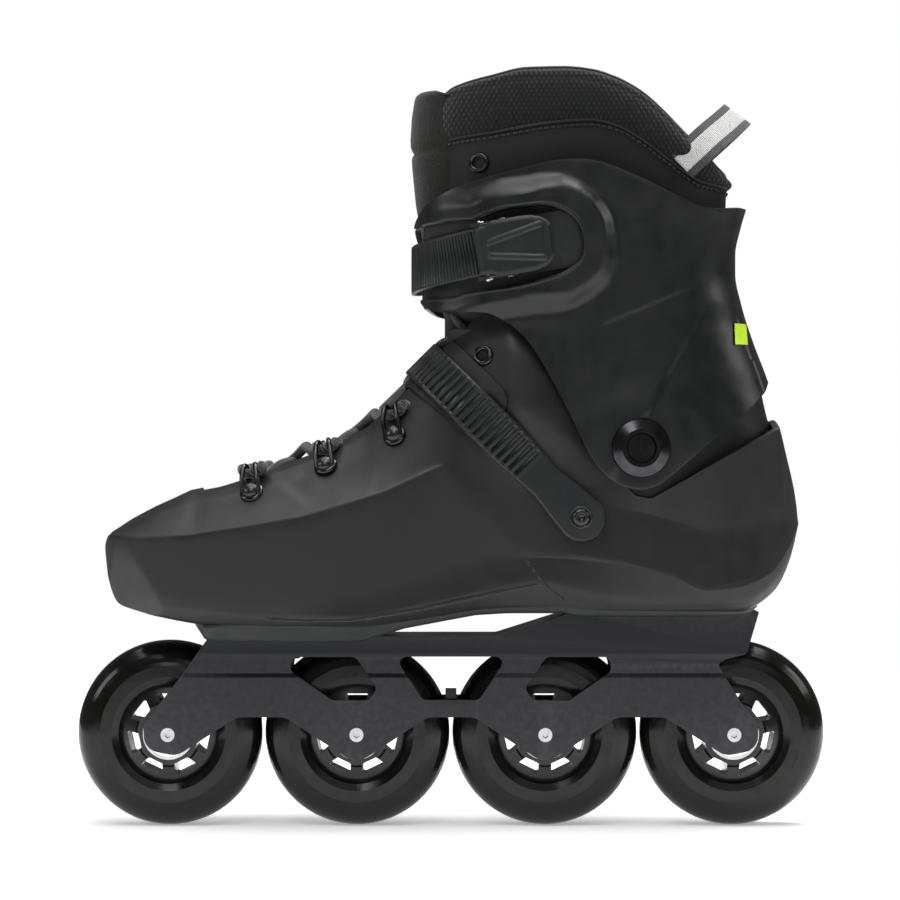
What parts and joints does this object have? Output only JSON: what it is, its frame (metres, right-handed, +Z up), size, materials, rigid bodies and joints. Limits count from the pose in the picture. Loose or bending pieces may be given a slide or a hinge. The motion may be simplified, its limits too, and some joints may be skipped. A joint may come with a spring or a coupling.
{
  "type": "inline skate",
  "caption": "Inline skate for a left foot: hinged-cuff boot with padded liner, laces and two ratchet straps, on an aluminium frame with wheels in line.",
  "frame": {"origin": "on the ground, on the wheels' mid-plane, halfway between the first and the last axle", "axes": "+X to the outer side of the foot, -Y to the toe, +Z up"},
  "size_m": [0.1107, 0.323, 0.3239],
  "materials": {
    "anodised_frame": "satin black anodised",
    "steel_fasteners": "zinc plated",
    "axle_steel": "machined",
    "bearing_steel": "ground and polished",
    "urethane": "gloss cast urethane",
    "hub_plastic": "moulded",
    "shell_plastic": "fine moulded grain",
    "cuff_plastic": "satin moulded grain",
    "foam": "felted foam",
    "liner_fabric": "mesh and synthetic suede",
    "tongue_fabric": "brushed knit",
    "webbing": "woven webbing",
    "lace_cord": "round braided cord",
    "black_metal": "black oxide, polished",
    "strap_plastic": "moulded",
    "lever_plastic": "fine grain",
    "pin_chrome": "polished"
  },
  "bodies": {
    "boot": {"frame": "anodised_frame", "frame_bolts": "steel_fasteners", "frame_washers": "steel_fasteners", "mount_inserts": "steel_fasteners", "axles": "axle_steel", "axle_spacers": "axle_steel", "bearing_inner_races": "bearing_steel", "boot_shell": "shell_plastic", "shock_absorber": "foam", "insole": "foam", "liner_foot": "liner_fabric", "tongue_foot": "tongue_fabric", "laces": "lace_cord", "lace_hooks": "black_metal", "lace_rivets": "black_metal", "shell_eyelets": "black_metal", "instep_strap": "strap_plastic", "instep_pad": "shell_plastic", "instep_strap_screw": "black_metal", "instep_buckle_base": "strap_plastic", "instep_buckle_pins": "pin_chrome", "instep_buckle_screw": "black_metal", "cuff_pivot_bolts": "black_metal", "cuff_pivot_washers": "black_metal", "cuff_pivot_nuts": "steel_fasteners"},
    "cuff": {"cuff": "cuff_plastic", "liner_collar": "liner_fabric", "tongue_collar": "tongue_fabric", "pull_loop": "webbing", "ankle_strap": "strap_plastic", "ankle_strap_screw": "black_metal", "ankle_buckle_base": "strap_plastic", "ankle_buckle_pins": "pin_chrome", "ankle_buckle_screw": "black_metal"},
    "ankle_lever": {"ankle_buckle_lever": "lever_plastic"},
    "ankle_catch": {"ankle_buckle_catch": "strap_plastic"},
    "instep_lever": {"instep_buckle_lever": "lever_plastic"},
    "instep_catch": {"instep_buckle_catch": "strap_plastic"},
    "wheel_1": {"tyre_1": "urethane", "hub_1": "hub_plastic", "bearing_outer_races_1": "bearing_steel", "bearing_balls_1": "bearing_steel", "bearing_shields_1": "bearing_steel"},
    "wheel_2": {"tyre_2": "urethane", "hub_2": "hub_plastic", "bearing_outer_races_2": "bearing_steel", "bearing_balls_2": "bearing_steel", "bearing_shields_2": "bearing_steel"},
    "wheel_3": {"tyre_3": "urethane", "hub_3": "hub_plastic", "bearing_outer_races_3": "bearing_steel", "bearing_balls_3": "bearing_steel", "bearing_shields_3": "bearing_steel"},
    "wheel_4": {"tyre_4": "urethane", "hub_4": "hub_plastic", "bearing_outer_races_4": "bearing_steel", "bearing_balls_4": "bearing_steel", "bearing_shields_4": "bearing_steel"}
  },
  "joints": [
    {"name": "wheel_1_spin", "type": "hinge", "parent": "boot", "child": "wheel_1", "pos_m": [0, -0.1215, 0.04], "axis": [1, 0, 0], "continuous": true},
    {"name": "wheel_2_spin", "type": "hinge", "parent": "boot", "child": "wheel_2", "pos_m": [0, -0.0405, 0.04], "axis": [1, 0, 0], "continuous": true},
    {"name": "wheel_3_spin", "type": "hinge", "parent": "boot", "child": "wheel_3", "pos_m": [0, 0.0405, 0.04], "axis": [1, 0, 0], "continuous": true},
    {"name": "wheel_4_spin", "type": "hinge", "parent": "boot", "child": "wheel_4", "pos_m": [0, 0.1215, 0.04], "axis": [1, 0, 0], "continuous": true},
    {"name": "cuff_flex", "type": "hinge", "parent": "boot", "child": "cuff", "pos_m": [0, 0.0796, 0.163], "axis": [1, 0, 0], "range_deg": [-3, 7]},
    {"name": "ankle_lever_open", "type": "hinge", "parent": "cuff", "child": "ankle_lever", "pos_m": [0.04951, 0.01445, 0.24546], "axis": [0, 0.1564, -0.9877], "range_deg": [0, 80]},
    {"name": "ankle_catch_lift", "type": "hinge", "parent": "cuff", "child": "ankle_catch", "pos_m": [0.05091, 0.02323, 0.24685], "axis": [0, 0.1564, -0.9877], "range_deg": [0, 8]},
    {"name": "instep_lever_open", "type": "hinge", "parent": "boot", "child": "instep_lever", "pos_m": [-0.0498, 0.0248, 0.1637], "axis": [0, 0.7071, 0.7071], "range_deg": [0, 80]},
    {"name": "instep_catch_lift", "type": "hinge", "parent": "boot", "child": "instep_catch", "pos_m": [-0.0498, 0.03117, 0.15733], "axis": [0, 0.7071, 0.7071], "range_deg": [0, 8]}
  ]
}
